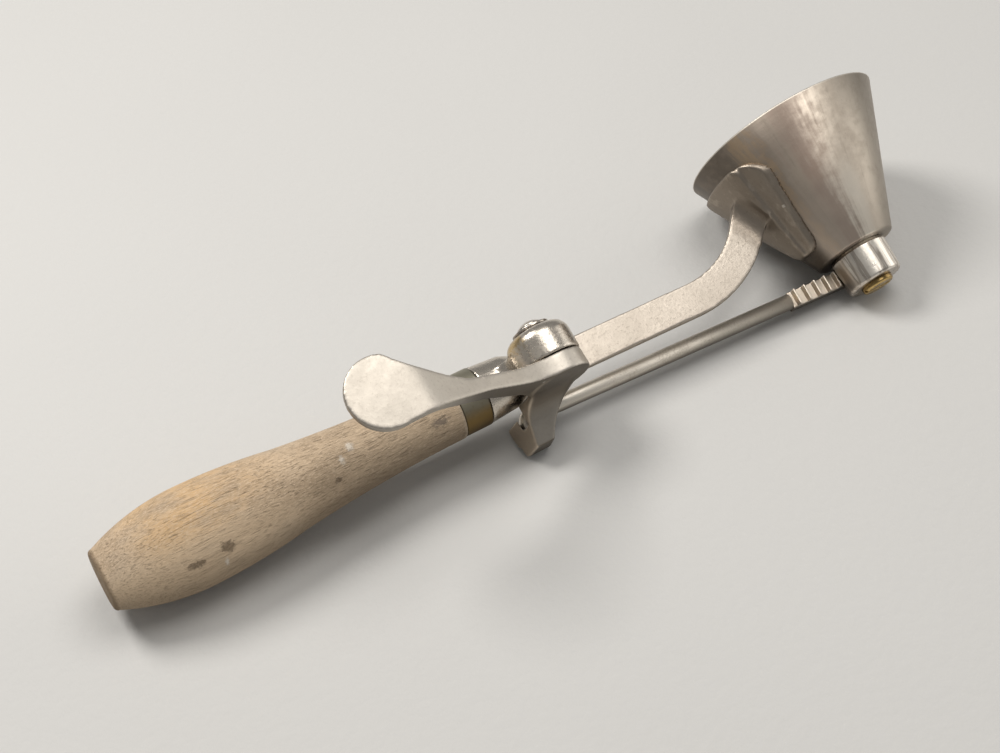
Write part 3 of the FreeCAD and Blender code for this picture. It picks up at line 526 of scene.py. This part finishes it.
dress("spindle_bush", yellow_brass("bush_brass", (0.58, 0.43, 0.20, 1), (0.30, 0.20, 0.09, 1), rough=0.28))
plug_brass = yellow_brass("plug_brass", (0.66, 0.47, 0.19, 1), (0.22, 0.145, 0.06, 1), rough=0.22)
soft_copy("plug_screw", "brass_plug", plug_brass, "frame", grain=0.13 * MM, passes=3)


def housing_reflections(plate, tone, _mottle):
    """Painted reflections: dark and bright streaks along the drum's side."""
    streaks = plate.cloud((0.42, 0.03, 0.42), 3, 0.5)
    tone = plate.mix(plate.step(streaks, 0.50, 0.58) * 0.7, tone, (0.34, 0.29, 0.24, 1))
    return plate.mix(plate.step(streaks, 0.62, 0.68) * 0.8, tone, (0.92, 0.88, 0.82, 1))


# Painted light on the housing: the bright tone on the side turned up, the dull tone elsewhere.
housing_plate = nickel("housing_nickel", (0.90, 0.85, 0.77, 1), (0.56, 0.50, 0.43, 1), (0.35, 0.1, 0.9),
                       rough=0.24, speckle=0.15, wear_and_light=housing_reflections)
soft_copy("gear_housing", "drum_housing", housing_plate, "frame", grain=0.2 * MM, passes=4)


# The thumb lever: one nickel plated casting with a round pad, a rising arm, the pivot hub and the flared
# foot that drives the rod. Thumbs have polished the pad and the top of the arm, and light is painted on them;
# the front of hub, leg and foot is painted in shade.
pad_centre = Vector((-57.0, 0.9, 46.4))


def lever_wear_and_light(plate, tone, mottle):
    """Pad and arm edges as bright as their tops, partly rubbed by thumbs and partly painted light; painted
    shade on the front of hub, leg and foot; painted light on the foot's cheek.
    """
    # Partly thumb polish, partly painted light on the rounded edges of pad and arm.
    rubbed = 1 - plate.step(plate.x + (mottle - 0.5) * 4, -46, -30)
    tone = plate.mix(rubbed * 0.55, tone, (0.62, 0.57, 0.50, 1))
    # Painted shade on the front of hub, leg and foot.
    dark = (1 - plate.step(plate.y + (mottle - 0.5) * 2, -13.5, -9.0)) * 0.38
    tone = plate.mix(dark, tone, (0.075, 0.065, 0.053, 1))
    # Painted light on the foot's cheek.
    painted_cheek_light = plate.facing((-0.9, -0.4, 0.1), 0.3, 0.8) * (1 - plate.step(plate.y, -11, -8))
    return plate.mix(painted_cheek_light * 0.75, tone, (0.62, 0.52, 0.41, 1))


def crown(piece, centre, reach, drop):
    """Lower the top of a casting round a centre, by a drop that grows and then runs out within reach."""
    to_tool = (tool_place @ Matrix.Scale(MM, 4)).inverted()
    down = tool_place.to_3x3() @ Vector((0, 0, -1))
    bm = bmesh.new()
    bm.from_mesh(piece.data)
    bm.normal_update()
    for vert in bm.verts:
        share = min((to_tool @ vert.co - centre).length / reach, 1)
        swell = share * share * (3 - 2 * share) * (1 - share)
        turned_up = min(max(vert.normal @ down * -0.7 + 0.5, 0), 1)
        vert.co += down * (drop * MM * swell * turned_up)
    bm.to_mesh(piece.data)
    bm.free()


# Painted light on the lever: the bright tone on the side turned up, a dark shaded tone elsewhere.
lever_plate = nickel("lever_nickel", (0.68, 0.63, 0.56, 1), (0.155, 0.135, 0.11, 1), (0.42, 0.2, 0.88),
                     rough=0.42, speckle=0.2, low=0.2, high=0.85, wear_and_light=lever_wear_and_light)
cast_lever = soft_copy("thumb_lever", "cast_lever", lever_plate, "lever",
                       grain=0.33 * MM, passes=16)
crown(cast_lever, pad_centre, reach=22.0, drop=1.0)


# The pivot: a steel pin through the drum with a cap washer and a domed, slotted screw on its end,
# and the wound strip spring round it that brings the lever back.
def steel(name, tone, dull, way, rough, lines=(0.3, 2.2, 2.2), depth=0.03 * MM):
    """Bright drawn steel: fine drawing lines, a little brown in the pores, and painted light, bright where it
    turns to a given way and dull elsewhere.
    """
    drawn = Finish(name, Metallic=1.0)
    cloud = drawn.cloud(0.12, 5, 0.6)
    draw_lines = drawn.cloud(lines, 3, 0.6)
    grit = drawn.cloud(1.8, 3, 0.5)
    brown = drawn.step(cloud * 0.6 + grit * 0.4, 0.46, 0.68)
    # Painted light: the bright tone where the steel turns to the given way, the dull shaded tone elsewhere.
    colour = drawn.mix(drawn.facing(way, -0.1, 0.8), dull, tone)
    colour = drawn.mix(brown * 0.3, colour, (0.26, 0.19, 0.13, 1))
    drawn.set(Base_Color=colour, Roughness=rough + brown * 0.15 + draw_lines * 0.06, Normal=drawn.bump(
        draw_lines * 0.6 + grit * 0.4, depth, drawn.soft_edges(0.2 * MM)))
    return drawn.material


# Each steel gets a lit tone and a shaded tone of painted light.
plain_steel = steel("plain_steel", (0.54, 0.51, 0.47, 1), (0.32, 0.29, 0.26, 1), (0, 0, 1), rough=0.28)
dress("handle_tang", plain_steel)
dress("pivot_pin", plain_steel)
# Painted light on the cap: the bright tone on the side turned to its way, the dull tone elsewhere.
cap_plate = nickel("cap_nickel", (0.68, 0.62, 0.55, 1), (0.26, 0.22, 0.18, 1), (0.1, 0.7, 0.7),
                   rough=0.18, speckle=0.3)
soft_copy("cap_washer", "pivot_cap", cap_plate, "lever", grain=0.12 * MM, passes=2)
screw_steel = steel("screw_steel", (0.66, 0.61, 0.55, 1), (0.28, 0.24, 0.20, 1), (0.1, 0.7, 0.7),
                    rough=0.24, depth=0.008 * MM)
soft_copy("pivot_screw", "pivot_screw_head", screw_steel, "lever", grain=0.1 * MM, passes=3)
spring_steel = steel("spring_steel", (0.34, 0.33, 0.33, 1), (0.2, 0.19, 0.19, 1), (0, 0, 1), rough=0.3)
dress("return_spring", spring_steel)


# The drive: a drawn steel rod bent at one end to hook into the lever's foot, a rack brazed on the other,
# and inside the housing the pinion on the scraper's spindle.
def drawn_out(bm, edges, shift):
    """Draw a ring of edges out along a straight line and return the ring at its end."""
    fresh = bmesh.ops.extrude_edge_only(bm, edges=edges)["geom"]
    ends = [v for v in fresh if isinstance(v, bmesh.types.BMVert)]
    bmesh.ops.translate(bm, verts=ends, vec=shift)
    return [e for e in fresh if isinstance(e, bmesh.types.BMEdge) and all(v in ends for v in e.verts)]


rod_skew = radians(2.8)
rod_radius = 2.38
rod_length = 86.45
hook_end = (-13.4, -16.3, -5.0)
hook_length = 3.176
elbow_centre = (-10.829, -13.124, -5.0)
bm = bmesh.new()
bmesh.ops.create_circle(bm, segments=48, radius=rod_radius,
                        matrix=Matrix.Translation(hook_end) @ Matrix.Rotation(pi / 2, 4, "X"))
ring = drawn_out(bm, bm.edges[:], (0, hook_length, 0))
bent = bmesh.ops.spin(bm, geom=list({v for e in ring for v in e.verts}) + ring, cent=elbow_centre,
                      axis=(0, 0, -1), angle=pi / 2 + rod_skew, steps=14)["geom_last"]
ring = [e for e in bent if isinstance(e, bmesh.types.BMEdge)]
drawn_out(bm, ring, Matrix.Rotation(-rod_skew, 3, "Z") @ Vector((rod_length, 0, 0)))
bmesh.ops.holes_fill(bm, edges=[e for e in bm.edges if e.is_boundary])
bmesh.ops.recalc_face_normals(bm, faces=bm.faces)
# Painted light on the rod: bright along its top, dull below.
rod_steel = steel("rod_steel", (0.84, 0.78, 0.69, 1), (0.25, 0.225, 0.19, 1), (0, 0.3, 0.95),
                  rough=0.40, lines=(0.12, 2.6, 2.6))
piece_from(bm, "bent_rod", rod_steel, "rod", "push_rod")

rack = Finish("rack_steel", Metallic=1.0)
cloud = rack.cloud(0.2, 5, 0.6)
grit = rack.cloud(1.8, 3, 0.5)
cut_lines = rack.cloud((0.5, 3.0, 3.0), 3, 0.6)
# Painted light: the toothed top of the bar gets a lit tone, the bar below it a shaded tone.
lit_crest = rack.step(rack.z, -4.7, -3.5)
rack_tone = rack.mix(lit_crest, (0.20, 0.165, 0.13, 1), (0.74, 0.66, 0.56, 1))
rack_tone = rack.mix(rack.step(cloud * 0.6 + grit * 0.4, 0.48, 0.68) * 0.4, rack_tone, (0.20, 0.145, 0.10, 1))
rack.set(Base_Color=rack_tone, Roughness=0.24 + cloud * 0.15, Normal=rack.bump(
    cut_lines * 0.5 + grit * 0.4, 0.03 * MM, rack.soft_edges(0.2 * MM)))
soft_copy("rack_bar", "toothed_rack", rack.material, "rod", grain=0.13 * MM, passes=2)
dress("pinion", plain_steel)
dress("spindle", plain_steel)


# The scraper: two bent strips of nickel plated sheet on a hub, which sweep the bowl's wall.
# A steel nut holds the hub on the spindle.
# Painted light on the scraper: the bright tone on the side turned to its way, the dull tone elsewhere.
blade_plate = nickel("blade_nickel", (0.50, 0.455, 0.395, 1), (0.30, 0.255, 0.21, 1), (0, 0.6, 0.8),
                     rough=0.42, speckle=0.45, sand=0.015)
dress("scraper_hub", blade_plate)
dress("scraper_blade_1", blade_plate)
dress("scraper_blade_2", blade_plate)
dress("scraper_nut", screw_steel)
